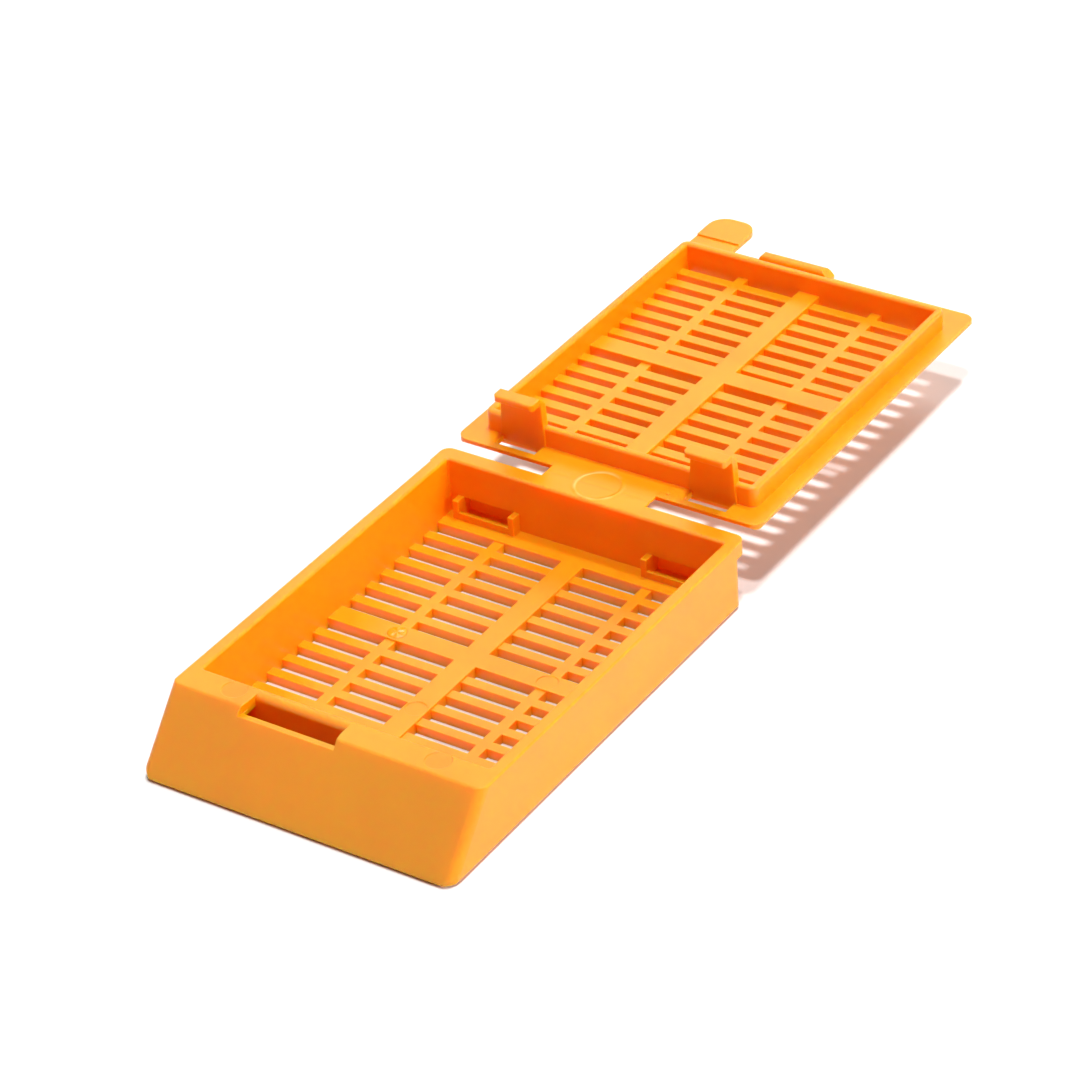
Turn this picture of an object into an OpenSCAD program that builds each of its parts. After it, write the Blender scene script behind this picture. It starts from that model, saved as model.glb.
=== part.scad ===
// Tissue cassette: a slotted tray and a slotted snap lid, moulded in one piece with a living hinge.
// X runs across the tray, +Y from the slanted writing face to the hinge and the lid, +Z up.
// The origin is on the underside, below the middle of the compartment.
// The lid is shaped as it lies shut on the tray and is then swung open flat, as it is moulded.
// All sizes are in millimetres, and angles in degrees.

/* [Tray] */
// Width of the tray
tray_w = 28.5; // [26:0.5:32]
// Height of the rim above the underside
tray_h = 6; // [5.4:0.1:8]
// Length of the compartment
comp_l = 33.3; // [30:0.1:38]
// Thickness of the side walls
side_wall = 1.15; // [0.9:0.05:1.4]
// Thickness of the back wall
back_wall = 0.65; // [0.5:0.05:0.8]
// Thickness of the front wall of the compartment
front_wall = 1; // [0.8:0.05:1.2]
// Length of the level band in front of the compartment
band_l = 2.55; // [2.4:0.05:4]
// Thickness of the level band
band_t = 1; // [0.8:0.05:1.3]
// Angle between the writing face and the table
face_angle = 49.3; // [42:0.1:55]
// Thickness of the writing face
face_t = 0.9; // [0.7:0.05:1.2]
// Length of the rim's ledge behind the back wall
ledge_l = 0.85; // [0.7:0.05:1.2]
// Thickness of the rim's ledge
ledge_t = 1.3; // [1:0.05:1.6]
// Height of the plinth that the tray stands on
plinth_h = 0.2; // [0.1:0.05:0.4]
// Distance by which the plinth is set back from the tray's outside
plinth_inset = 0.3; // [0.15:0.05:0.5]

/* [Tray floor] */
// Thickness of the floor at its spine and cross rib
floor_t = 1; // [0.7:0.05:1.2]
// Depth of the slats and side ribs below the spine and the cross rib
slat_drop = 0.15; // [0.05:0.05:0.3]
// Width of each slot through the floor
slot_w = 1.18; // [0.8:0.02:1.4]
// Number of slots from a cross rib to either end
slot_count = 7; // [5:1:8]
// Width of the cross rib in the middle of the floor
cross_rib = 1.92; // [1.4:0.02:3]
// Width of the plain band at each end of the floor
end_band = 2.1; // [1.4:0.1:3]
// Width of the rib along the middle, in the tray and in the lid
spine_w = 2; // [1.4:0.1:3]
// Width of the rib between two columns of slots, in the tray and in the lid
side_rib = 0.95; // [0.7:0.05:1.4]

/* [Latch] */
// Position across the tray of the middle of the latch slot
latch_x = -3.2; // [-5:0.1:5]
// Width of the latch slot
latch_slot_w = 8.5; // [6:0.1:10]
// Length of the latch slot, from front to back
latch_slot_l = 1.6; // [1.4:0.05:2]
// Depth of the notch that opens the slot to the writing face
notch_depth = 0.64; // [0.4:0.02:1]
// Flare of the notch at each end
notch_flare = 0.3; // [0.1:0.05:0.8]
// Clearance between the latch and the slot, in front of it and behind it
latch_gap = 0.25; // [0.15:0.05:0.3]
// Clearance between the latch and each end of the slot
latch_end_gap = 0.78; // [0.4:0.02:1]
// Height by which the latch stands out of the lid's flange
latch_h = 0.7; // [0.5:0.05:1]

/* [Hooks] */
// Distance of each hook from the middle of the cassette
hook_x = 9.05; // [7:0.05:10]
// Width of a hook at its tip
hook_w = 3.8; // [3:0.1:4.2]
// Width of a hook at the flange
hook_base_w = 4.4; // [3.2:0.1:5]
// Thickness of a hook's plate
hook_t = 0.7; // [0.5:0.05:0.8]
// Clearance between a hook's plate and the back wall
hook_gap = 0.48; // [0.4:0.02:0.6]
// Reach of a hook's lip past its plate
lip_l = 1.23; // [1:0.01:1.4]
// Thickness of a hook's lip
lip_t = 0.6; // [0.5:0.02:0.7]
// Gap between a hook's tip and the floor, with the lid shut
tip_gap = 0.6; // [0.5:0.01:1]
// Length of the bevel at the front of a hook's tip
tip_bevel = 0.7; // [0.4:0.05:0.8]
// Clearance between a hook's lip and the back of its recess
lip_gap = 0.05; // [0.04:0.01:0.1]
// Thickness of the boss round each recess, behind the back wall
recess_wall = 0.25; // [0.2:0.01:0.4]
// Clearance over a hook's lip as it swings out of its recess
swing_gap = 0.05; // [0.03:0.01:0.15]
// Distance to the left by which the pockets are off the middles of the hooks
pocket_shift = 0.24; // [0:0.02:0.3]
// Clearance between a hook and the posts on either side of it
post_gap = 0.53; // [0.45:0.01:0.7]
// Width of each post
post_w = 0.55; // [0.35:0.05:0.7]
// Height of each post above the floor
post_h = 1.7; // [1.2:0.05:3]
// Distance of the posts' front faces from the back wall
pocket_l = 0.95; // [0.85:0.01:1.2]
// Thickness of the sill across the front of each pocket
sill_t = 0.3; // [0.2:0.01:0.4]
// Clearance between the bevel of a hook's tip and the sill
sill_gap = 0.12; // [0.1:0.01:0.2]

/* [Lid] */
// Thickness of the lid at its flange and its finger tab
flange_t = 0.5; // [0.4:0.05:0.8]
// Thickness of the lid inside its skirt
lid_t = 1.1; // [0.9:0.05:1.5]
// Gap between the rim and the shut lid
seat_gap = 0.1; // [0.06:0.02:0.2]
// Amount by which the lid is wider than the tray on each side
lid_over = 0.15; // [0:0.05:0.4]
// Distance of the lid's front edge behind the crease of the writing face
lid_setback = 0.8; // [0.4:0.05:1]
// Height of the skirt that fits in the compartment
skirt_h = 1.8; // [1.2:0.05:2.4]
// Thickness of the skirt
skirt_t = 0.7; // [0.5:0.05:0.9]
// Clearance between the skirt and the side walls
skirt_side_gap = 0.2; // [0.15:0.05:0.4]
// Clearance between the skirt and the front wall
skirt_front_gap = 0.86; // [0.5:0.02:1.2]
// Clearance between the skirt and the back wall, where the hooks stand
skirt_back_gap = 0.64; // [0.5:0.02:0.75]
// Height by which the lid's spine and cross rib stand out of the flange's inner face
lid_rib_h = 0.1; // [0.05:0.05:0.3]
// Depth of the lid's slats and side ribs below the flange's inner face
lid_slat_drop = 0.15; // [0.05:0.05:0.3]
// Width of each slot through the lid
lid_slot_w = 0.93; // [0.6:0.01:1.1]
// Number of slots from the lid's cross rib to either end
lid_slot_count = 8; // [5:1:9]
// Width of the lid's cross rib
lid_cross_rib = 1.92; // [1.4:0.02:3]

/* [Finger tab] */
// Length of the tab past the lid's front edge
tab_l = 5; // [3:0.1:7]
// Width of the tab
tab_w = 4.25; // [3.6:0.05:7]
// Distance of the tab's outer side from the lid's side
tab_inset = 0.3; // [0:0.05:1]
// Length of the tab's thinner root
tab_root_l = 1.4; // [0.8:0.1:2]
// Depth by which the root is thinner than the pad
tab_step = 0.15; // [0.05:0.05:0.25]

/* [Hinge] */
// Width of the hinge strap
strap_w = 9.8; // [7:0.1:13]
// Length of the strap between the tray and the lid
strap_l = 1.67; // [1.4:0.01:2.2]
// Thickness of the strap
strap_t = 0.35; // [0.28:0.01:0.5]
// Depth of the groove along the underside of the strap
groove_depth = 0.12; // [0.05:0.01:0.15]

/* [Rounding] */
// Radius of the tray's upright corners at the back
back_r = 0.8; // [0.5:0.1:1.2]
// Radius of the lid's corners
corner_r = 1; // [0.6:0.1:1.4]
// Radius of the tray's bottom corners at the front
toe_corner_r = 1.5; // [0.4:0.1:2]
// Radius of the crease between the band and the writing face
crease_r = 0.4; // [0.1:0.05:0.6]
// Radius of the edges on either side of the writing face
face_r = 0.7; // [0.3:0.1:1.2]
// Radius of the tray's bottom edges along its sides and its back
foot_r = 0.2; // [0.1:0.05:0.6]
// Radius of the writing face's bottom edge
toe_r = 0.1; // [0.05:0.05:0.4]
// Radius of the rim's outer edges
rim_r = 0.2; // [0.1:0.05:0.3]
// Radius of the compartment's top edge
mouth_r = 0.25; // [0.1:0.05:0.3]
// Radius of the corners inside the compartment
inner_r = 0.2; // [0.15:0.05:1]
// Radius of the top edge between the latch slot and the compartment
latch_slot_r = 0.5; // [0.2:0.05:0.5]
// Radius of the latch's end
latch_r = 0.4; // [0.1:0.05:0.5]
// Radius of the flange's edges, along the outside of the shut lid
flange_r = 0.25; // [0.1:0.05:0.35]
// Radius of the edges of the lid's middle, along the outside of the shut lid
lid_r = 0.4; // [0.1:0.05:0.6]
// Radius of the upright corners inside the skirt
skirt_inner_r = 0.05; // [0.05:0.05:0.5]
// Radius of the skirt's edge
skirt_r = 0.25; // [0.1:0.05:0.25]
// Radius of the edges of a hook's lip
lip_r = 0.2; // [0.05:0.05:0.25]
// Radius of the corners of a hook's lip
lip_corner_r = 0.4; // [0.1:0.05:0.6]
// Radius of the ends of the finger tab
tab_r = 1.6; // [0.6:0.1:1.8]

/* [Ejector marks] */
// Radius of the marks on the band
band_mark_r = 1.05; // [0.6:0.05:1.1]
// Distance of the marks on the band from the middle
band_mark_x = 9.3; // [4:0.1:10]
// Distance of the marks on the band behind the crease of the writing face
band_mark_y = 1.5; // [1.2:0.05:1.6]
// Radius of the marks on the floor
floor_mark_r = 0.9; // [0.5:0.05:0.95]
// Distance of the mark on the spine in front of the cross rib's middle
floor_mark_y = 7.7; // [3:0.1:12]
// Depth of the marks
mark_depth = 0.06; // [0.02:0.01:0.1]

/* [Hidden] */
arc_steps = 6; // flats round each rounded corner of an outline
$fn = 48;
over = 1; // distance by which a cut runs past the face that it opens
sink = 0.2; // depth by which an added shape runs into what carries it

// Tray
comp_w = tray_w - 2 * side_wall;
comp_y = comp_l / 2;
crease_y = -comp_y - band_l;
face_run = (tray_h - plinth_h) / tan(face_angle);
toe_y = crease_y - face_run;
front_back_y = -comp_y - front_wall; // hollow side of the compartment's front wall
back_y = comp_y + back_wall;
ledge_y = back_y + ledge_l;
slat_z = floor_t - slat_drop;

// Hinge
hinge_y = ledge_y + strap_l / 2;
hinge_z = tray_h + seat_gap / 2;

// Latch slot
latch_slot_y = front_back_y - latch_slot_l;

// Lid, shut
lid_z = tray_h + seat_gap;
flange_top = lid_z + flange_t;
lid_top = lid_z + lid_t;
lid_w = tray_w + 2 * lid_over;
lid_front = crease_y + lid_setback;
lid_back = hinge_y - strap_l / 2;
skirt_w = comp_w - 2 * skirt_side_gap;
skirt_front = -comp_y + skirt_front_gap;
skirt_back = comp_y - skirt_back_gap;
skirt_corner_r = skirt_t + skirt_inner_r;
field_w = skirt_w - 2 * skirt_t;
field_front = skirt_front + skirt_t;
field_back = skirt_back - skirt_t;

// Hooks, shut
tip_z = floor_t + tip_gap;
lip_top = tip_z + lip_t;
plate_back = comp_y - hook_gap;
plate_front = plate_back - hook_t;
lip_y = plate_back + lip_l;
recess_y = lip_y + lip_gap;
swing_r = norm([hinge_y - lip_y, hinge_z - lip_top]); // of the lip's edge round the hinge
recess_top = hinge_z - sqrt(pow(swing_r, 2) - pow(hinge_y - comp_y, 2)) + swing_gap;
pocket_y = comp_y - pocket_l;
pocket_w = hook_w + 2 * post_gap;
sill_y = pocket_y + sill_t;
sill_z = tip_z + max(0, plate_front + tip_bevel - sill_y) - sill_gap;
flange_window_gap = 0.1; // room in the flange's window past the lip, and in all across it

// Unit vector along v
function unit(v) = v / norm(v);

// First two coordinates of a corner
function xy(c) = [c.x, c.y];

// Points of the arc that rounds corner p, between its neighbours, to radius r
function corner_arc(before, p, after, r) =
    let (
        a = unit(before - p),
        b = unit(after - p),
        half = acos(a * b) / 2,
        centre = p + unit(a + b) * r / sin(half),
        from = p + a * r / tan(half) - centre,
        start = atan2(from.y, from.x),
        turn = sign(cross(b, a)) * (180 - 2 * half)
    )
    [for (i = [0:arc_steps]) let (t = start + turn * i / arc_steps) centre + r * [cos(t), sin(t)]];

// Points of an outline whose corners are given as [x, y, radius]
function outline(corners) =
    let (n = len(corners))
    [for (i = [0:n - 1]) let (c = corners[i])
        each c.z == 0 ? [xy(c)]
            : corner_arc(xy(corners[(i + n - 1) % n]), xy(c), xy(corners[(i + 1) % n]), c.z)];

// Outline of a rectangle from x0 to x1 and y0 to y1, with its corners rounded at low y and at high y
function rounded(x0, x1, y0, y1, r_low, r_high) =
    outline([[x0, y0, r_low], [x1, y0, r_low], [x1, y1, r_high], [x0, y1, r_high]]);

// Points of a cut's side that rises at x from z0 and flares out by r round the edge at height z1
function flared(x, z0, z1, r) =
    [[x, z0], each corner_arc([x, z0], [x, z1], [x + r, z1], r), [x + r + over, z1 + over]];

// Width of one of the four columns of slots across a floor
function column_w(w) = (w - spine_w - 2 * side_rib) / 4;

// Middles of the columns of slots across a floor
function column_xs(w) =
    [for (side = [-1, 1], n = [0, 1]) side * (spine_w / 2 + column_w(w) / 2 + n * (column_w(w) + side_rib))];

// Box centred on x, from y0 to y1 and from z0 to z1
module bar(w, y0, y1, z0, z1, x = 0) {
    translate([x - w / 2, y0, z0]) cube([w, y1 - y0, z1 - z0]);
}

// A side view in Y and Z, drawn out across the width w
module across(w) {
    rotate([90, 0, 90]) linear_extrude(w, center = true) children();
}

// A front view in X and Z, drawn out from y0 to y1
module along(y0, y1) {
    translate([0, y1, 0]) rotate([90, 0, 0]) linear_extrude(y1 - y0) children();
}

// A pair of shapes, mirrored across the middle
module both_sides() {
    for (side = [0, 1]) mirror([side, 0, 0]) children();
}

// Slots through a floor of width w, count of them from y0 to y1
module slots(w, y0, y1, slot, count, z0, z1) {
    pitch = (y1 - y0 - slot) / (count - 1);
    for (x = column_xs(w), n = [0:count - 1])
        bar(column_w(w), y0 + n * pitch, y0 + n * pitch + slot, z0, z1, x);
}

// A section, drawn with its outer side at x = 0, that runs round a rectangle w by l with corners of radius r
module ring(w, l, r) {
    for (side = [0, 1], end = [0, 1]) mirror([side, 0, 0]) mirror([0, end, 0])
        translate([w / 2 - r, l / 2 - r, 0]) rotate_extrude(angle = 90) translate([r, 0]) children();
    for (side = [0, 1]) {
        mirror([side, 0, 0]) translate([w / 2, 0, 0])
            rotate([90, 0, 0]) linear_extrude(l - 2 * r, center = true) children();
        mirror([0, side, 0]) translate([0, l / 2, 0])
            rotate([90, 0, 90]) linear_extrude(w - 2 * r, center = true) children();
    }
}

// Plate from y0 to y1 and from z0 to z1, with its top edges and its upright corners rounded
module plate(w, y0, y1, z0, z1, edge_r, upright_r) {
    intersection() {
        across(w + 2 * over) polygon(rounded(y0, y1, z0, z1, 0, edge_r));
        along(y0 - over, y1 + over) polygon(rounded(-w / 2, w / 2, z0, z1, 0, edge_r));
        translate([0, 0, z0 - over]) linear_extrude(z1 - z0 + 2 * over)
            polygon(rounded(-w / 2, w / 2, y0, y1, upright_r, upright_r));
    }
}

// Round mark sunk into a level face at height z
module mark(x, y, z, r) {
    translate([x, y, z - mark_depth]) cylinder(r = r, h = mark_depth + over);
}

// Outside of the tray as a solid block, with the slanted writing face
module tray_block() {
    half = tray_w / 2;
    reach = 2 * comp_l;
    intersection() {
        across(tray_w + 2 * over)
            polygon(outline([[toe_y, plinth_h, toe_r], [back_y, plinth_h, foot_r], [back_y, tray_h, 0],
                [crease_y, tray_h, crease_r]]));
        along(-reach, reach) polygon(rounded(-half, half, plinth_h, tray_h, foot_r, rim_r));
        // Rounded edges on either side of the writing face
        translate([0, crease_y, tray_h]) rotate([90 + face_angle, 0, 0])
            linear_extrude(2 * reach, center = true) polygon(rounded(-half, half, -reach, 0, 0, face_r));
        // Upright corners
        translate([0, 0, -over]) linear_extrude(tray_h + 2 * over)
            polygon(rounded(-half, half, toe_y, back_y, toe_corner_r, back_r));
    }
}

// Plinth below the tray's outside
module plinth() {
    half = tray_w / 2 - plinth_inset;
    linear_extrude(plinth_h + sink)
        polygon(rounded(-half, half, toe_y + plinth_inset, back_y - plinth_inset, toe_corner_r, back_r));
}

// Ledge of the rim behind the back wall
module ledge() {
    translate([0, 0, tray_h - ledge_t]) linear_extrude(ledge_t)
        polygon(rounded(-tray_w / 2, tray_w / 2, comp_y - back_r, ledge_y, 0, back_r));
}

// Compartment, above its floor, with its top edge rounded
module compartment() {
    top = tray_h + over;
    inside = 0.75 * inner_r; // past the middle's edge, and short of the corners' axes
    bar(comp_w - inner_r, -comp_y + inner_r / 2, comp_y - inner_r / 2, floor_t, top);
    ring(comp_w, comp_l, inner_r)
        polygon([each flared(0, floor_t, tray_h, mouth_r), [-inside, top], [-inside, floor_t]]);
}

// Hollow behind the writing face, open at the bottom
module front_hollow() {
    roof = tray_h - band_t;
    inside = toe_y + face_t / sin(face_angle); // at the plinth's top
    across(comp_w)
        polygon([[inside, -over], [front_back_y, -over], [front_back_y, roof],
            [inside + (roof - plinth_h) / tan(face_angle), roof], [inside, plinth_h]]);
}

// Slot for the latch, with the notch that opens it to the writing face
module latch_slot() {
    half = latch_slot_w / 2;
    notch_z = tray_h - notch_depth;
    translate([latch_x, 0, 0]) across(latch_slot_w)
        polygon([each flared(front_back_y, tray_h / 2, tray_h, latch_slot_r),
            [latch_slot_y, tray_h + over], [latch_slot_y, tray_h / 2]]);
    translate([latch_x, latch_slot_y, notch_z]) linear_extrude(notch_depth + over)
        polygon([[-half, latch_slot_l / 2], [half, latch_slot_l / 2],
            [half + notch_flare, -over], [-half - notch_flare, -over]]);
}

// Slots, pockets and marks in the tray's floor
module tray_floor_cuts() {
    inner = cross_rib / 2;
    outer = comp_y - end_band;
    side_w = (comp_w - spine_w) / 2;
    for (end = [0, 1]) mirror([0, end, 0]) {
        slots(comp_w, inner, outer, slot_w, slot_count, -over, floor_t + over);
        // Pocket on either side of the spine that sets the slats and the side rib lower
        both_sides() bar(side_w, inner, outer, slat_z, floor_t + over, (spine_w + side_w) / 2);
    }
    side_rib_x = spine_w / 2 + column_w(comp_w) + side_rib / 2;
    mark(side_rib_x, 0, floor_t, floor_mark_r);
    mark(0, -floor_mark_y, floor_t, floor_mark_r);
}

// Posts and sill that take one hook, against the back wall, round the pocket's middle x
module hook_pocket(x) {
    foot = floor_t - sink;
    for (side = [-1, 1])
        bar(post_w, pocket_y, comp_y + sink, foot, floor_t + post_h, x + side * (pocket_w + post_w) / 2);
    bar(pocket_w + post_w, pocket_y, sill_y, foot, sill_z, x);
}

// Boss behind the back wall, round one hook's recess, from the bottom up to the ledge
module hook_boss(x) {
    top = tray_h - ledge_t + sink;
    bar(pocket_w + 2 * recess_wall, back_y - sink, recess_y + recess_wall, plinth_h, top, x);
}

// Recess in the back wall for one hook's lip
module hook_recess(x) {
    bar(pocket_w, comp_y - over / 2, recess_y, floor_t, recess_top, x);
}

module tray() color([0.98, 0.66, 0.24]) {
    difference() {
        union() {
            difference() {
                union() {
                    tray_block();
                    plinth();
                    ledge();
                    for (side = [-1, 1]) hook_boss(side * hook_x - pocket_shift);
                }
                compartment();
                front_hollow();
                latch_slot();
                tray_floor_cuts();
                both_sides() mark(band_mark_x, crease_y + band_mark_y, tray_h, band_mark_r);
            }
            for (side = [-1, 1]) hook_pocket(side * hook_x - pocket_shift);
        }
        for (side = [-1, 1]) hook_recess(side * hook_x - pocket_shift);
    }
}

// Strap of the living hinge, with a groove below its fold line
module hinge_strap() color([1, 0.78, 0.36]) {
    groove_r = strap_l / 4;
    difference() {
        bar(strap_w, ledge_y, ledge_y + strap_l, tray_h - strap_t, tray_h);
        translate([0, hinge_y, tray_h - strap_t + groove_depth - groove_r]) rotate([0, 90, 0])
            cylinder(r = groove_r, h = strap_w + 2 * over, center = true);
    }
}

// Finger tab at the front of the shut lid: a thinner root and a rounded pad
module finger_tab() {
    tab_x = -lid_w / 2 + tab_inset + tab_w / 2;
    end = lid_front - tab_l;
    pad = lid_front - tab_root_l;
    intersection() {
        translate([tab_x, 0, lid_z - over]) linear_extrude(flange_t + 2 * over)
            polygon(rounded(-tab_w / 2, tab_w / 2, end, lid_front + flange_r + sink, tab_r, 0));
        across(2 * lid_w)
            polygon(outline([[end, lid_z, 0], [pad, lid_z, 0], [pad, lid_z + tab_step, 0],
                [lid_front + over, lid_z + tab_step, 0], [lid_front + over, flange_top, 0],
                [end, flange_top, flange_r]]));
    }
}

// Skirt of the shut lid, with a rounded lower edge
module skirt() {
    translate([0, (skirt_front + skirt_back) / 2, lid_z])
        ring(skirt_w, skirt_back - skirt_front, skirt_corner_r)
            polygon(rounded(-skirt_t, 0, -skirt_h, sink, skirt_r, 0));
}

// One hook of the shut lid: a plate with a lip at its tip that points backwards
module hook() {
    root = lid_z + sink;
    half = hook_w / 2;
    base = hook_base_w / 2;
    front = plate_front - over;
    intersection() {
        across(2 * lid_w)
            polygon(outline([[plate_front + tip_bevel, tip_z, 0], [lip_y, tip_z, lip_r],
                [lip_y, lip_top, lip_r], [plate_back, lip_top, lip_r], [plate_back, root, 0],
                [plate_front, root, 0], [plate_front, tip_z + tip_bevel, 0]]));
        translate([hook_x, 0, 0]) along(front, lip_y + over)
            polygon([[-half, tip_z], [half, tip_z], [base, root], [-base, root]]);
        // Rounded corners of the lip
        translate([hook_x, 0, 0]) linear_extrude(lid_top)
            polygon(outline([[-base, front, 0], [base, front, 0], [base, plate_back, 0],
                [half, plate_back, 0], [half, lip_y, lip_corner_r], [-half, lip_y, lip_corner_r],
                [-half, plate_back, 0], [-base, plate_back, 0]]));
    }
}

// Window through the flange over one hook's lip
module flange_window() {
    end = lip_y + flange_window_gap;
    bar(hook_w + flange_window_gap, plate_back, end, lid_z - over, lid_top + over, hook_x);
}

// Latch on the front edge of the shut lid
module latch() {
    w = latch_slot_w - 2 * latch_end_gap;
    back = front_back_y - latch_gap;
    tip = lid_z - latch_h;
    front = latch_slot_y + latch_gap;
    translate([latch_x, 0, 0]) intersection() {
        along(front - over, back + over)
            polygon(outline([[-w / 2, flange_top, 0], [-w / 2, tip, latch_r],
                [w / 2 - latch_h, tip, latch_r], [w / 2, lid_z, 0], [w / 2, flange_top, 0]]));
        across(w + 2 * over) polygon(rounded(front, back, tip, flange_top, latch_r, flange_r));
    }
}

// Slots through the shut lid, and the pocket that sets its slats and side ribs lower
module lid_cuts() {
    half = lid_cross_rib / 2;
    slots(field_w, field_front, -half, lid_slot_w, lid_slot_count, lid_z - over, lid_top + over);
    slots(field_w, half, field_back, lid_slot_w, lid_slot_count, lid_z - over, lid_top + over);
    bar(field_w, field_front, field_back, lid_z - over, lid_z + lid_slat_drop);
}

// Spine and cross rib of the shut lid
module lid_ribs() {
    top = lid_z + lid_slat_drop + sink;
    bar(spine_w, field_front - sink, field_back + sink, lid_z - lid_rib_h, top);
    bar(field_w + 2 * sink, -lid_cross_rib / 2, lid_cross_rib / 2, lid_z - lid_rib_h, top);
}

module lid_shut() {
    difference() {
        union() {
            plate(lid_w, lid_front, lid_back, lid_z, flange_top, flange_r, corner_r);
            plate(skirt_w, skirt_front, skirt_back, lid_z, lid_top, lid_r, skirt_corner_r);
            finger_tab();
            latch();
        }
        lid_cuts();
        both_sides() flange_window();
    }
    skirt();
    lid_ribs();
    both_sides() hook();
}

module lid() color([1, 0.72, 0.28])
    translate([0, hinge_y, hinge_z]) rotate([180, 0, 0]) translate([0, -hinge_y, -hinge_z]) lid_shut();

tray();
lid();
hinge_strap();
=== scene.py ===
"""Looks of an orange tissue cassette: a slotted tray, a slotted snap lid and a living hinge."""

import logging
import math
from dataclasses import dataclass, field
from enum import Enum

import bmesh
import bpy
from mathutils import Matrix, Vector


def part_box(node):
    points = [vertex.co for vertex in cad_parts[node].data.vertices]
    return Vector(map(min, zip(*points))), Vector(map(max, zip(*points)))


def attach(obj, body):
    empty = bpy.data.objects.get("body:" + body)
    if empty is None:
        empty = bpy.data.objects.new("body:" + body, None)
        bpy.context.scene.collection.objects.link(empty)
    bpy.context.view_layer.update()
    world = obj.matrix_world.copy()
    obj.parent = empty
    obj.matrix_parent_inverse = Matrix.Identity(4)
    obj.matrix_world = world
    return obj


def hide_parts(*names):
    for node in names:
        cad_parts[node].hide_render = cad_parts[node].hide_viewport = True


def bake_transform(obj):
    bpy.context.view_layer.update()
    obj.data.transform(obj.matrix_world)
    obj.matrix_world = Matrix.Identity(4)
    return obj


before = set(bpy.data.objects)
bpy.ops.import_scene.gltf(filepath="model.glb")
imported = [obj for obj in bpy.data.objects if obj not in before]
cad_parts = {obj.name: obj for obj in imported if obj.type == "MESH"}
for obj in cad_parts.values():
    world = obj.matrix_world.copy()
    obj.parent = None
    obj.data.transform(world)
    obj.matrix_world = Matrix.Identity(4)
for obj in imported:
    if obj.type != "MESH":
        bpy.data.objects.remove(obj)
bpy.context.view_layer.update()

MM = 0.001
Colour = tuple[float, float, float]
log = logging.getLogger("cassette")


def rgba(colour: Colour) -> tuple[float, float, float, float]:
    """The colour with full opacity.

    Args:
        colour: Its red, green and blue.

    Returns:
        The colour and an opacity of 1.
    """
    return (*colour, 1.0)


def reckon(
    tree: bpy.types.NodeTree, kind: str, *values: bpy.types.NodeSocket | float, clamp: bool = False
) -> bpy.types.NodeSocket:
    """Adds a math node to a tree.

    Args:
        tree: The tree that it is added to.
        kind: Its operation.
        values: What it works on, as sockets or numbers.
        clamp: Whether its result is kept from 0 to 1.

    Returns:
        Its result.
    """
    node = tree.nodes.new("ShaderNodeMath")
    node.operation = kind
    node.use_clamp = clamp
    for value, socket in zip(values, node.inputs):
        if isinstance(value, bpy.types.NodeSocket):
            tree.links.new(value, socket)
        else:
            socket.default_value = value
    return node.outputs[0]


def remap(
    tree: bpy.types.NodeTree,
    value: bpy.types.NodeSocket,
    source: tuple[float, float],
    target: tuple[float, float],
    smooth: bool = False,
) -> bpy.types.NodeSocket:
    """Adds a node that maps one range of numbers to another.

    Args:
        tree: The tree that it is added to.
        value: The number that it maps.
        source: Range that the number comes from.
        target: Range that the result lies in.
        smooth: Whether it eases in and out.

    Returns:
        Its result.
    """
    node = tree.nodes.new("ShaderNodeMapRange")
    if smooth:
        node.interpolation_type = "SMOOTHSTEP"
    for label, number in zip(("From Min", "From Max", "To Min", "To Max"), (*source, *target)):
        node.inputs[label].default_value = number
    tree.links.new(value, node.inputs["Value"])
    return node.outputs["Result"]


class View(Enum):
    """Named directions that the camera can look from, as azimuth, elevation and roll in degrees."""

    OPEN_LID = (35.133, 33.677, -3.944)


@dataclass
class Camera:
    """The camera that shows the open cassette.

    Attributes:
        view: Direction that it looks from.
        target: Point that it looks at, in metres.
        distance: Distance from the target, in metres.
        lens: Focal length in millimetres, on a 36 mm sensor.
    """

    view: View = View.OPEN_LID
    target: Vector = field(default_factory=lambda: Vector((-4.554, 16.807, 0.587)) * MM)
    distance: float = 331.083 * MM
    lens: float = 135.70

    def build(self) -> bpy.types.Object:
        """Makes the camera and hands it to the scene.

        Returns:
            The camera object.
        """
        azimuth, elevation, roll = (math.radians(a) for a in self.view.value)
        back = Vector((
            math.sin(azimuth) * math.cos(elevation),
            -math.cos(azimuth) * math.cos(elevation),
            math.sin(elevation),
        ))
        data = bpy.data.cameras.new("camera")
        data.sensor_width = 36.0
        data.lens = self.lens
        data.clip_start = 1 * MM
        data.clip_end = 10.0
        camera = bpy.data.objects.new("camera", data)
        bpy.context.scene.collection.objects.link(camera)
        level = back.to_track_quat("Z", "Y").to_matrix().to_4x4()
        camera.matrix_world = (
            Matrix.Translation(self.target + back * self.distance) @ level @ Matrix.Rotation(roll, 4, "Z")
        )
        bpy.context.scene.camera = camera
        return camera


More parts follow.
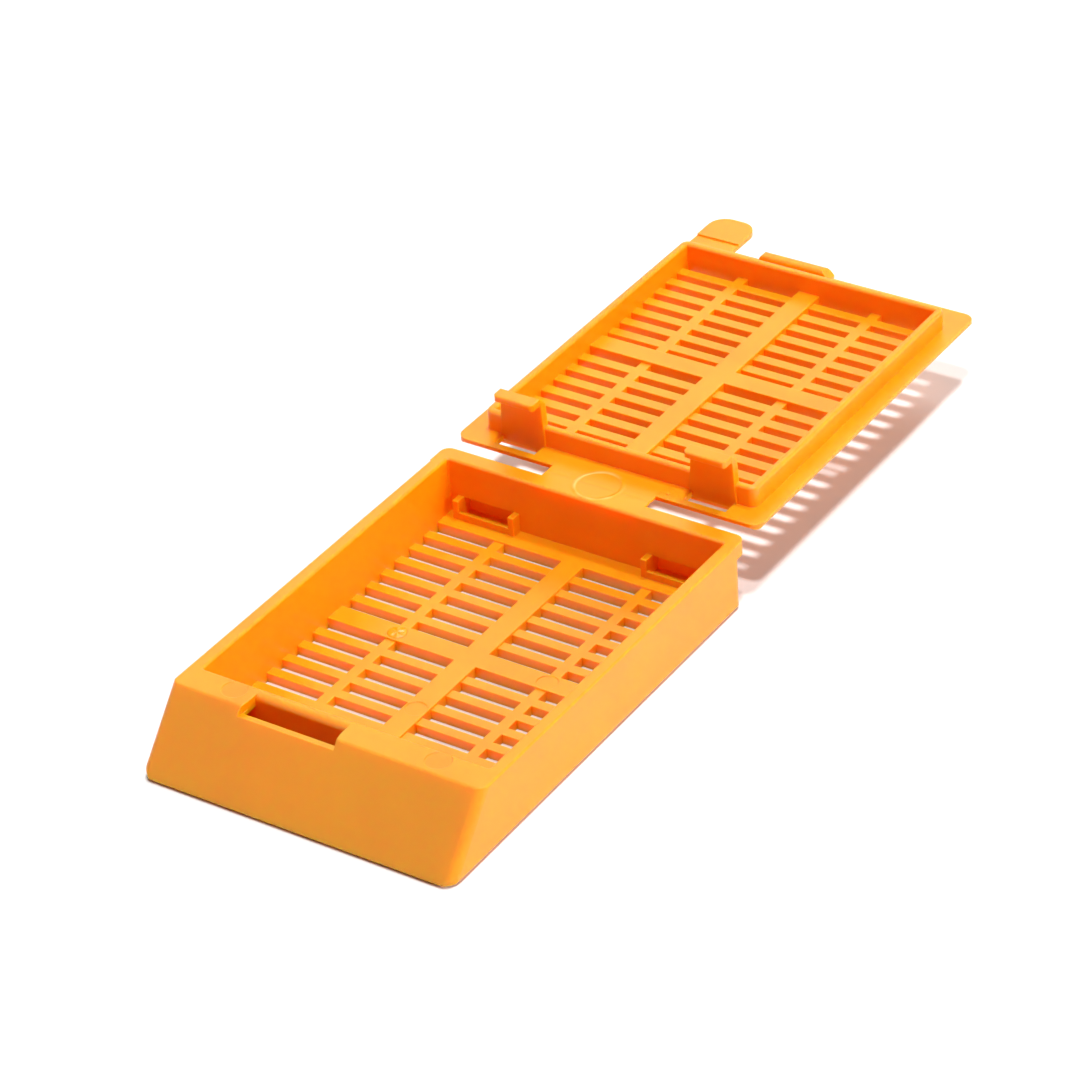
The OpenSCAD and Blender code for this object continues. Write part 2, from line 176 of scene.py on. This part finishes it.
@dataclass(frozen=True)
class Lamp:
    """A square studio lamp that faces the cassette.

    Attributes:
        name: Name of the lamp.
        place: Its place, in metres.
        size: Width of its face, in metres.
        power: Power in watts.
        glossy: Whether it shows in glossy surfaces.
    """

    name: str
    place: tuple[float, float, float]
    size: float
    power: float
    glossy: bool = False

    def build(self) -> bpy.types.Object:
        """Makes the lamp.

        Returns:
            The lamp object.
        """
        data = bpy.data.lights.new(self.name, "AREA")
        data.shape = "SQUARE"
        data.size = self.size
        data.energy = self.power
        lamp = bpy.data.objects.new(self.name, data)
        lamp.visible_glossy = self.glossy
        bpy.context.scene.collection.objects.link(lamp)
        place = Vector(self.place)
        lamp.location = place
        lamp.rotation_mode = "QUATERNION"
        lamp.rotation_quaternion = place.to_track_quat("Z", "Y")
        return lamp


@dataclass
class Studio:
    """The white table, the room's soft light and the lamps.

    Attributes:
        room: Strength of the light from the room.
        table: Colour of the table.
        half: Half the table's width, in metres.
        matt: Roughness of the table.
        lift: Light that the camera sees the table give, so that it comes out white where nothing shades it.
        lamps: The lamps: two small ones overhead, a soft one at the right, a panel behind
            at the left and the faint sheen of that panel.
    """

    room: float = 0.06
    table: Colour = (0.78, 0.78, 0.78)
    half: float = 3.0
    matt: float = 0.9
    lift: float = 0.02
    lamps: tuple[Lamp, ...] = (
        Lamp("overhead_front", (0.12, -0.1, 0.985), 0.09, 5.3, True),
        Lamp("overhead_back", (0.065, 0.23, 0.97), 0.09, 5.0, True),
        Lamp("side_fill", (0.95, 0.15, 0.3), 0.5, 8.0),
        Lamp("back_panel", (-0.35, 0.8, 0.6), 0.4, 5.0),
        Lamp("back_sheen", (-0.35, 0.8, 0.6), 0.4, 1.1, True),
    )

    def build(self) -> None:
        """Lights the scene and lays the table."""
        world = bpy.data.worlds.new("room")
        bpy.context.scene.world = world
        world.use_nodes = True
        nodes, links = world.node_tree.nodes, world.node_tree.links
        path = nodes.new("ShaderNodeLightPath")
        seen = reckon(world.node_tree, "MAXIMUM", path.outputs["Is Camera Ray"], path.outputs["Is Glossy Ray"])
        strength = remap(world.node_tree, seen, (0.0, 1.0), (self.room, 1.0))
        nodes["Background"].inputs["Color"].default_value = (1, 1, 1, 1)
        links.new(strength, nodes["Background"].inputs["Strength"])
        for lamp in self.lamps:
            lamp.build()
        self.lay_table()

    def lay_table(self) -> bpy.types.Object:
        """Makes the plain white table.

        Returns:
            The table, marked as part of the stage.
        """
        mesh = bpy.data.meshes.new("table")
        corners = [Vector((x, y, 0)) * self.half for x, y in ((-1, -1), (1, -1), (1, 1), (-1, 1))]
        mesh.from_pydata(corners, [], [(0, 1, 2, 3)])
        table = bpy.data.objects.new("table", mesh)
        bpy.context.scene.collection.objects.link(table)
        material = bpy.data.materials.new("white_table")
        material.use_nodes = True
        nodes, links = material.node_tree.nodes, material.node_tree.links
        shader = nodes["Principled BSDF"]
        shader.inputs["Base Color"].default_value = rgba(self.table)
        shader.inputs["Roughness"].default_value = self.matt
        shader.inputs["Emission Color"].default_value = (1, 1, 1, 1)
        path = nodes.new("ShaderNodeLightPath")
        lift = reckon(material.node_tree, "MULTIPLY", path.outputs["Is Camera Ray"], self.lift)
        links.new(lift, shader.inputs["Emission Strength"])
        mesh.materials.append(material)
        return table


class Effects:
    """Shader node groups that the finishes share, each built once."""

    _groups: dict[str, bpy.types.ShaderNodeTree] = {}

    @classmethod
    def _new(cls, name: str, ins: dict[str, tuple[str, float]], outs: tuple[str, ...]) -> bpy.types.ShaderNodeTree:
        """Makes a node group and its sockets.

        Args:
            name: Name of the group.
            ins: Name of each input, with its kind and its value where it is a number.
            outs: Names of the outputs, all numbers.

        Returns:
            The group.
        """
        group = bpy.data.node_groups.new(name, "ShaderNodeTree")
        for label, (kind, value) in ins.items():
            socket = group.interface.new_socket(label, in_out="INPUT", socket_type=kind)
            if kind == "NodeSocketFloat":
                socket.default_value = value
        for label in outs:
            group.interface.new_socket(label, in_out="OUTPUT", socket_type="NodeSocketFloat")
        cls._groups[name] = group
        return group

    @classmethod
    def moulded_skin(cls) -> bpy.types.ShaderNodeTree:
        """The skin of moulded plastic.

        Returns:
            A group that puts out Cloud, slow changes of tone, Flow, soft waves, and Grain, fine roughness.
        """
        name = "moulded_skin"
        if name in cls._groups:
            return cls._groups[name]
        group = cls._new(
            name,
            {
                "Vector": ("NodeSocketVector", 0.0),
                "Cloud Scale": ("NodeSocketFloat", 180.0),
                "Flow Scale": ("NodeSocketFloat", 500.0),
                "Grain Scale": ("NodeSocketFloat", 6000.0),
            },
            ("Cloud", "Flow", "Grain"),
        )
        nodes, links = group.nodes, group.links
        source = nodes.new("NodeGroupInput")
        result = nodes.new("NodeGroupOutput")
        for label, detail in (("Cloud", 3.0), ("Flow", 1.0), ("Grain", 2.0)):
            noise = nodes.new("ShaderNodeTexNoise")
            noise.inputs["Detail"].default_value = detail
            links.new(source.outputs["Vector"], noise.inputs["Vector"])
            links.new(source.outputs[f"{label} Scale"], noise.inputs["Scale"])
            links.new(noise.outputs["Fac"], result.inputs[label])
        return group

    @classmethod
    def round_mark(cls) -> bpy.types.ShaderNodeTree:
        """A round mark that the mould leaves, sunk inside a raised rim.

        Returns:
            A group that puts out Inside, 1 on the mark, and Height, the profile of its sunk face and its rim.
        """
        name = "round_mark"
        if name in cls._groups:
            return cls._groups[name]
        group = cls._new(
            name,
            {
                "Vector": ("NodeSocketVector", 0.0),
                "X": ("NodeSocketFloat", 0.0),
                "Y": ("NodeSocketFloat", 0.0),
                "Above": ("NodeSocketFloat", 0.0),
                "Radius": ("NodeSocketFloat", 0.002),
                "Edge": ("NodeSocketFloat", 0.0002),
            },
            ("Inside", "Height"),
        )
        nodes, links = group.nodes, group.links
        source = nodes.new("NodeGroupInput")
        result = nodes.new("NodeGroupOutput")
        split = nodes.new("ShaderNodeSeparateXYZ")
        links.new(source.outputs["Vector"], split.inputs[0])

        dx = reckon(group, "SUBTRACT", split.outputs["X"], source.outputs["X"])
        dy = reckon(group, "SUBTRACT", split.outputs["Y"], source.outputs["Y"])
        square = reckon(group, "ADD", reckon(group, "MULTIPLY", dx, dx), reckon(group, "MULTIPLY", dy, dy))
        past = reckon(group, "SUBTRACT", reckon(group, "SQRT", square), source.outputs["Radius"])
        share = reckon(group, "DIVIDE", past, source.outputs["Edge"])
        inside = remap(group, share, (-1.0, 0.0), (1.0, 0.0), smooth=True)
        outside = remap(group, share, (0.0, 1.6), (1.0, 0.0), smooth=True)
        level = reckon(group, "GREATER_THAN", split.outputs["Z"], source.outputs["Above"])
        height = reckon(group, "SUBTRACT", outside, inside)
        links.new(reckon(group, "MULTIPLY", level, inside), result.inputs["Inside"])
        links.new(reckon(group, "MULTIPLY", level, height), result.inputs["Height"])
        return group


@dataclass(frozen=True)
class RoundMark:
    """A round mark of the mould, where it lies on the finish.

    Attributes:
        x: Its middle across the cassette, in metres.
        y: Its middle along the cassette, in metres.
        above: Height above which surfaces carry it, in metres.
        radius: Its radius, in metres.
        depth: Depth of its step, in metres.
        dull: Share by which it is deeper in colour than the finish round it.
        painted_sheen: Share by which the finish just outside it is painted paler, a painted highlight round its
            rim.
    """

    x: float
    y: float
    above: float
    radius: float
    depth: float = 0.03 * MM
    dull: float = 0.0
    painted_sheen: float = 0.0


@dataclass(frozen=True)
class Acetal:
    """Satin moulded acetal, translucent where it is thin.

    Attributes:
        name: Name of the material.
        deep: Colour of its deeper patches.
        light: Colour of its lighter patches.
        painted_sheen_colour: Colour of the painted sheen round a mark, a painted highlight.
        shade: Brightness of a dull mark's tint, as a share of the deep colour's.
        satin: Lowest and highest roughness. Thin dark strokes appear where a range crosses about 0.275.
        clouds: Cloud values at which it is least and most rough.
        sheen_patches: Flow values between which the painted sheen round a mark comes in.
        glow: Share of the light that goes into the plastic and comes out again.
        reach: How far red light goes through it, in metres.
        spread: How far red, green and blue light go through it, as shares of that reach.
        index: Its refractive index.
        edge: Radius by which sharp edges look worn round, in metres.
        edge_samples: Rays with which that is found.
        waves: Depth of the soft waves of the skin, in metres.
        grain: Depth of its fine grain, in metres.
        marks: Round marks of the mould on it.
    """

    name: str
    deep: Colour = (0.96, 0.27, 0.0006)
    light: Colour = (1.0, 0.35, 0.002)
    painted_sheen_colour: Colour = (1.0, 0.62, 0.2)
    shade: float = 0.5
    satin: tuple[float, float] = (0.28, 0.38)
    clouds: tuple[float, float] = (0.3, 0.7)
    sheen_patches: tuple[float, float] = (0.42, 0.6)
    glow: float = 0.9
    reach: float = 1.7 * MM
    spread: Colour = (1.0, 0.32, 0.06)
    index: float = 1.48
    edge: float = 0.09 * MM
    edge_samples: int = 6
    waves: float = 0.006 * MM
    grain: float = 0.0012 * MM
    marks: tuple[RoundMark, ...] = ()

    def build(self) -> bpy.types.Material:
        """Makes the material, once.

        Returns:
            The material.
        """
        known = bpy.data.materials.get(self.name)
        if known:
            return known
        material = bpy.data.materials.new(self.name)
        material.use_nodes = True
        nodes, links = material.node_tree.nodes, material.node_tree.links
        shader = nodes["Principled BSDF"]
        shader.inputs["Subsurface Weight"].default_value = self.glow
        shader.inputs["Subsurface Radius"].default_value = self.spread
        shader.inputs["Subsurface Scale"].default_value = self.reach
        shader.inputs["IOR"].default_value = self.index
        place = nodes.new("ShaderNodeTexCoord")
        skin = nodes.new("ShaderNodeGroup")
        skin.node_tree = Effects.moulded_skin()
        links.new(place.outputs["Object"], skin.inputs["Vector"])

        tone = nodes.new("ShaderNodeMix")
        tone.data_type = "RGBA"
        tone.inputs["A"].default_value = rgba(self.deep)
        tone.inputs["B"].default_value = rgba(self.light)
        links.new(skin.outputs["Cloud"], tone.inputs["Factor"])
        colour = tone.outputs["Result"]
        normal_marks = []
        for mark in self.marks:
            ring = nodes.new("ShaderNodeGroup")
            ring.node_tree = Effects.round_mark()
            ring.inputs["X"].default_value = mark.x
            ring.inputs["Y"].default_value = mark.y
            ring.inputs["Above"].default_value = mark.above
            ring.inputs["Radius"].default_value = mark.radius
            links.new(place.outputs["Object"], ring.inputs["Vector"])
            normal_marks.append((ring.outputs["Height"], mark.depth))
            # The second entry paints a highlight: a paler tint just outside the mark's rim, in patches that follow
            # the Flow noise.
            for part, amount, tint in (
                ("Inside", mark.dull, tuple(c * self.shade for c in self.deep)),
                ("Height", mark.painted_sheen, self.painted_sheen_colour),
            ):
                if not amount:
                    continue
                if part == "Height":
                    amount = remap(material.node_tree, skin.outputs["Flow"], self.sheen_patches, (0.0, amount))
                share = reckon(material.node_tree, "MULTIPLY", ring.outputs[part], amount, clamp=True)
                mix = nodes.new("ShaderNodeMix")
                mix.data_type = "RGBA"
                mix.inputs["B"].default_value = rgba(tint)
                links.new(share, mix.inputs["Factor"])
                links.new(colour, mix.inputs["A"])
                colour = mix.outputs["Result"]
        links.new(colour, shader.inputs["Base Color"])

        satin = remap(material.node_tree, skin.outputs["Cloud"], self.clouds, self.satin)
        links.new(satin, shader.inputs["Roughness"])

        worn = nodes.new("ShaderNodeBevel")
        worn.samples = self.edge_samples
        worn.inputs["Radius"].default_value = self.edge
        normal = self._bump(material, worn.outputs["Normal"], skin.outputs["Grain"], self.grain)
        normal = self._bump(material, normal, skin.outputs["Flow"], self.waves)
        for height, depth in normal_marks:
            normal = self._bump(material, normal, height, depth)
        links.new(normal, shader.inputs["Normal"])
        return material

    @staticmethod
    def _bump(
        material: bpy.types.Material, normal: bpy.types.NodeSocket, height: bpy.types.NodeSocket, depth: float
    ) -> bpy.types.NodeSocket:
        """Adds a bump on top of a normal.

        Args:
            material: The material that it is added to.
            normal: The normal that it changes.
            height: Its height, from 0 to 1.
            depth: Depth that a height of 1 stands for, in metres.

        Returns:
            The changed normal.
        """
        bump = material.node_tree.nodes.new("ShaderNodeBump")
        bump.inputs["Distance"].default_value = depth
        material.node_tree.links.new(normal, bump.inputs["Normal"])
        material.node_tree.links.new(height, bump.inputs["Height"])
        return bump.outputs["Normal"]


@dataclass
class Moulding:
    """One CAD node of the moulding, with its rounded edges shaded smooth and its finish put on.

    Attributes:
        node: Name of the CAD node.
        finish: Finish that it wears.
        crease: Angle above which an edge stays sharp, in degrees.
        flat: Angle above which an edge bounds a flat face, in degrees.
        broad: Mean area of the flat faces at an edge above which it stays sharp, in square metres.
        merge: Distance below which points are joined, in metres.
    """

    node: str
    finish: Acetal
    crease: float = 34.0
    flat: float = 2.0
    broad: float = 5 * MM * MM
    merge: float = 0.001 * MM

    def build(self) -> bpy.types.Object:
        """Smooths and dresses the node.

        Returns:
            The node's object.
        """
        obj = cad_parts[self.node]
        self.smooth(obj)
        obj.data.materials.clear()
        obj.data.materials.append(self.finish.build())
        log.info("%s: dressed in %s", self.node, self.finish.name)
        return obj

    def smooth(self, obj: bpy.types.Object) -> None:
        """Joins the faces of the node's mesh and keeps only its sharp edges sharp.

        Args:
            obj: The object to smooth.
        """
        custom = obj.data.attributes.get("custom_normal")
        if custom:
            obj.data.attributes.remove(custom)
        weld = obj.modifiers.new("weld", "WELD")
        weld.merge_threshold = self.merge
        creases = obj.modifiers.new("creases", "NODES")
        creases.node_group = self._creases()
        weighted = obj.modifiers.new("weighted", "WEIGHTED_NORMAL")
        weighted.keep_sharp = True

    def _creases(self) -> bpy.types.GeometryNodeTree:
        """Makes the geometry nodes that shade faces smooth between sharp edges, and broad flat faces flat.

        Returns:
            The node group.
        """
        name = "sharp_creases"
        known = bpy.data.node_groups.get(name)
        if known:
            return known
        group = bpy.data.node_groups.new(name, "GeometryNodeTree")
        group.interface.new_socket("Mesh", in_out="INPUT", socket_type="NodeSocketGeometry")
        group.interface.new_socket("Mesh", in_out="OUTPUT", socket_type="NodeSocketGeometry")
        nodes, links = group.nodes, group.links
        faces = nodes.new("GeometryNodeSetShadeSmooth")
        faces.domain = "FACE"
        edges = nodes.new("GeometryNodeSetShadeSmooth")
        edges.domain = "EDGE"
        edges.inputs["Shade Smooth"].default_value = False
        angle = nodes.new("GeometryNodeInputMeshEdgeAngle")

        def above(value: bpy.types.NodeSocket, limit: float) -> bpy.types.NodeSocket:
            node = nodes.new("FunctionNodeCompare")
            node.data_type = "FLOAT"
            node.operation = "GREATER_THAN"
            node.inputs["B"].default_value = limit
            links.new(value, node.inputs["A"])
            return node.outputs["Result"]

        def joined(kind: str, a: bpy.types.NodeSocket, b: bpy.types.NodeSocket) -> bpy.types.NodeSocket:
            node = nodes.new("FunctionNodeBooleanMath")
            node.operation = kind
            links.new(a, node.inputs[0])
            links.new(b, node.inputs[1])
            return node.outputs[0]

        bounds = above(angle.outputs["Unsigned Angle"], math.radians(self.flat))
        groups = nodes.new("GeometryNodeEdgesToFaceGroups")
        links.new(bounds, groups.inputs[0])
        area = nodes.new("GeometryNodeAccumulateField")
        area.data_type = "FLOAT"
        area.domain = "FACE"
        links.new(nodes.new("GeometryNodeInputMeshFaceArea").outputs["Area"], area.inputs["Value"])
        links.new(groups.outputs[0], area.inputs["Group ID"])
        broad = joined("AND", bounds, above(area.outputs["Total"], self.broad))
        sharp = joined("OR", broad, above(angle.outputs["Unsigned Angle"], math.radians(self.crease)))
        links.new(nodes.new("NodeGroupInput").outputs["Mesh"], faces.inputs["Geometry"])
        links.new(faces.outputs["Geometry"], edges.inputs["Geometry"])
        links.new(sharp, edges.inputs["Selection"])
        links.new(edges.outputs["Geometry"], nodes.new("NodeGroupOutput").inputs["Mesh"])
        return group


@dataclass
class HingeWeb:
    """The thin strap of the living hinge, or the skin that runs on over its ends.

    Attributes:
        name: Name of the piece.
        finish: Finish that it wears.
        sheet: Whether it is only the skin on top, and doesn't stand for the CAD strap.
        rows: Rows of faces along it.
        columns: Columns of faces across it.
        groove: Width of the groove below its fold line, in metres.
        groove_depth: Depth of that groove, in metres.
        crown: Depth by which its top sinks at the fold line, in metres.
        ease: Width over which its side edges are rounded, in metres.
        thinned: Share of its thickness that is gone at its side edges.
        laps: Widths by which its top runs on over the tray's ledge and over the lid's flange, in metres.
        skin: Height of those laps above them, in metres.
    """

    name: str
    finish: Acetal
    sheet: bool = False
    rows: int = 60
    columns: int = 72
    groove: float = 0.7 * MM
    groove_depth: float = 0.12 * MM
    crown: float = 0.03 * MM
    ease: float = 0.12 * MM
    thinned: float = 0.6
    laps: tuple[float, float] = (0.0, 0.0)
    skin: float = 0.0

    def build(self) -> bpy.types.Object:
        """Makes the strap between the tray and the lid, in place of its rigid solid.

        Returns:
            The strap.
        """
        low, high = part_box("hinge_strap")
        start, end = low[1] - self.laps[0], high[1] + self.laps[1]
        bm = bmesh.new()
        sides: list[list[list[bmesh.types.BMVert]]] = []
        faces = (True,) if self.sheet else (True, False)
        for top in faces:
            grid = []
            for j in range(self.rows + 1):
                y = start + (end - start) * j / self.rows
                grid.append([
                    bm.verts.new((x, y, self._height(x, y, low, high, top)))
                    for x in (low[0] + (high[0] - low[0]) * i / self.columns for i in range(self.columns + 1))
                ])
            sides.append(grid)
        for top, grid in zip(faces, sides):
            for j in range(self.rows):
                for i in range(self.columns):
                    loop = [grid[j][i], grid[j][i + 1], grid[j + 1][i + 1], grid[j + 1][i]]
                    bm.faces.new(loop if top else loop[::-1])
        if not self.sheet:
            self._close(bm, *sides)
        mesh = bpy.data.meshes.new(self.name)
        bm.to_mesh(mesh)
        bm.free()
        mesh.shade_smooth()
        web = bpy.data.objects.new(self.name, mesh)
        web.visible_shadow = not self.sheet
        bpy.context.scene.collection.objects.link(web)
        mesh.materials.append(self.finish.build())
        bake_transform(web)
        if not self.sheet:
            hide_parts("hinge_strap")
        log.info("%s: %d by %d faces on each side", self.name, self.columns, self.rows)
        return web

    def _close(
        self,
        bm: bmesh.types.BMesh,
        over: list[list[bmesh.types.BMVert]],
        under: list[list[bmesh.types.BMVert]],
    ) -> None:
        """Closes the strap round its sides and ends.

        Args:
            bm: The strap's mesh.
            over: Rows of points of its upper side.
            under: Rows of points of its lower side.
        """
        rim = [(0, i) for i in range(self.columns)] + [(j, self.columns) for j in range(self.rows)]
        rim += [(self.rows, i) for i in range(self.columns, 0, -1)] + [(j, 0) for j in range(self.rows, 0, -1)]
        for (j0, i0), (j1, i1) in zip(rim, rim[1:] + rim[:1]):
            bm.faces.new([over[j0][i0], under[j0][i0], under[j1][i1], over[j1][i1]])
        bmesh.ops.recalc_face_normals(bm, faces=bm.faces)

    def _height(self, x: float, y: float, low: Vector, high: Vector, top: bool) -> float:
        """Height of one point of the strap.

        Args:
            x: Its place across the cassette.
            y: Its place along the cassette.
            low: Lowest corner of the strap.
            high: Highest corner of the strap.
            top: Whether it is on the upper side.

        Returns:
            The height, in metres.
        """
        off = abs(y - (low[1] + high[1]) / 2) / (self.groove / 2)
        bowl = math.cos(min(off, 1.0) * math.pi / 2) ** 2
        z_top = high[2] - self.crown * bowl
        z_low = low[2] + self.groove_depth * bowl
        past = max(0.0, abs(x - (low[0] + high[0]) / 2) - ((high[0] - low[0]) / 2 - self.ease)) / self.ease
        if self.sheet:
            return z_top + self.skin
        half = (z_top - z_low) / 2 * (1 - self.thinned * (1 - math.sqrt(max(0.0, 1 - past * past))))
        return (z_top + z_low) / 2 + (half if top else -half)


@dataclass
class Gate:
    """A small rosette or pip left on a level face of the moulding.

    Attributes:
        name: Name of the piece.
        body: Body that it rides on.
        centre: Middle of its foot, in metres.
        radius: Its radius, in metres.
        height: Height at its middle, in metres.
        petals: Number of bumps round it.
        depth: Share of the height by which the bumps rise and fall.
        finish: Finish that it wears.
        rings: Rings of points round its middle.
        spokes: Points on each ring.
        sunk: Depth by which its foot is sunk into the moulding, in metres.
    """

    name: str
    body: str
    centre: tuple[float, float, float]
    radius: float
    height: float
    petals: int
    depth: float
    finish: Acetal
    rings: int = 10
    spokes: int = 48
    sunk: float = 0.02 * MM

    def build(self) -> bpy.types.Object:
        """Makes the mark.

        Returns:
            The mark.
        """
        bm = bmesh.new()
        centre = Vector(self.centre)
        crown = bm.verts.new(centre + Vector((0, 0, self.height * (1 - self.depth))))
        rings = []
        for r in range(1, self.rings + 1):
            share = r / self.rings
            ring = []
            for s in range(self.spokes):
                turn = 2 * math.pi * s / self.spokes
                wave = 1 - self.depth + self.depth * math.sin(math.pi * share) * math.cos(self.petals * turn)
                rise = self.height * wave * (1 - share ** 3) - (self.sunk if r == self.rings else 0)
                reach = self.radius * share
                ring.append(bm.verts.new(centre + Vector((reach * math.cos(turn), reach * math.sin(turn), rise))))
            rings.append(ring)
        for s in range(self.spokes):
            n = (s + 1) % self.spokes
            bm.faces.new([crown, rings[0][s], rings[0][n]])
            for inner, outer in zip(rings, rings[1:]):
                bm.faces.new([inner[s], outer[s], outer[n], inner[n]])
        bm.faces.new(rings[-1][::-1])
        bmesh.ops.recalc_face_normals(bm, faces=bm.faces)
        mesh = bpy.data.meshes.new(self.name)
        bm.to_mesh(mesh)
        bm.free()
        mesh.shade_smooth()
        mark = bpy.data.objects.new(self.name, mesh)
        bpy.context.scene.collection.objects.link(mark)
        mesh.materials.append(self.finish.build())
        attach(mark, self.body)
        log.info("%s: %d bumps", self.name, self.petals)
        return mark


@dataclass
class Cassette:
    """The whole moulding: tray, lid, hinge web and the marks of the mould.

    Attributes:
        disc_radius: Radius of the smooth disc across the hinge, in metres.
        gate_radius: Radius of the gate's rosette in the tray, in metres.
        floor: Height of the tray's floor, in metres.
        band_mark: Places of the two ejector marks on the band, across and along the cassette, in metres.
        band_mark_radius: Their radius, in metres.
        gate: Middle of the gate's rosette, across and along the cassette, in metres.
        pip: Middle of the lid's pip, across the cassette and on from the fold line, in metres.
        pip_radius: Its radius, in metres.
        top: Depth below the tray's rim down to which faces carry the round marks, in metres.
    """

    disc_radius: float = 1.95 * MM
    gate_radius: float = 0.85 * MM
    floor: float = 1.0 * MM
    band_mark: tuple[float, float] = (9.3 * MM, -17.7 * MM)
    band_mark_radius: float = 1.05 * MM
    gate: tuple[float, float] = (-7.05 * MM, 0.0)
    pip: tuple[float, float] = (5.6 * MM, 1.6 * MM)
    pip_radius: float = 0.16 * MM
    top: float = 0.3 * MM

    def build(self) -> None:
        """Builds and dresses every piece."""
        tray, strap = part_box("tray"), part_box("hinge_strap")
        rim, fold = tray[1][2], (strap[0][1] + strap[1][1]) / 2
        face = rim - self.top
        # Just outside its rim the disc's ring gets a painted highlight, a paler tint. It is also bumped and tinted
        # slightly darker.
        disc = RoundMark(0.0, fold, face, self.disc_radius, depth=0.05 * MM, dull=0.06, painted_sheen=0.6)
        band = tuple(
            RoundMark(x, self.band_mark[1], face, self.band_mark_radius, depth=0.0, dull=0.2)
            for x in (-self.band_mark[0], self.band_mark[0])
        )
        skin = Acetal("acetal_skin", marks=(disc, *band))
        Moulding("tray", skin).build()
        Moulding("lid", skin).build()
        web = Acetal("acetal_web", glow=0.0, marks=(disc,))
        HingeWeb("hinge_web", web).build()
        HingeWeb("hinge_skin", web, sheet=True, laps=(1.2 * MM, 2.05 * MM), skin=0.005 * MM).build()
        plain = Acetal("acetal_mark", glow=0.0)
        gate = (*self.gate, self.floor)
        Gate(
            "tray_gate", "tray_body", gate, self.gate_radius, height=0.12 * MM, petals=6, depth=0.45, finish=plain
        ).build()
        pip = (self.pip[0], fold + self.pip[1], rim)
        Gate(
            "lid_pip", "lid_body", pip, self.pip_radius, height=0.06 * MM, petals=0, depth=0.0, finish=plain
        ).build()


def main() -> None:
    """Builds the scene."""
    logging.basicConfig(level=logging.INFO, format="%(message)s")
    bpy.context.scene.view_settings.view_transform = "Standard"
    Camera().build()
    Studio().build()
    Cassette().build()


if __name__ == "__main__":
    main()
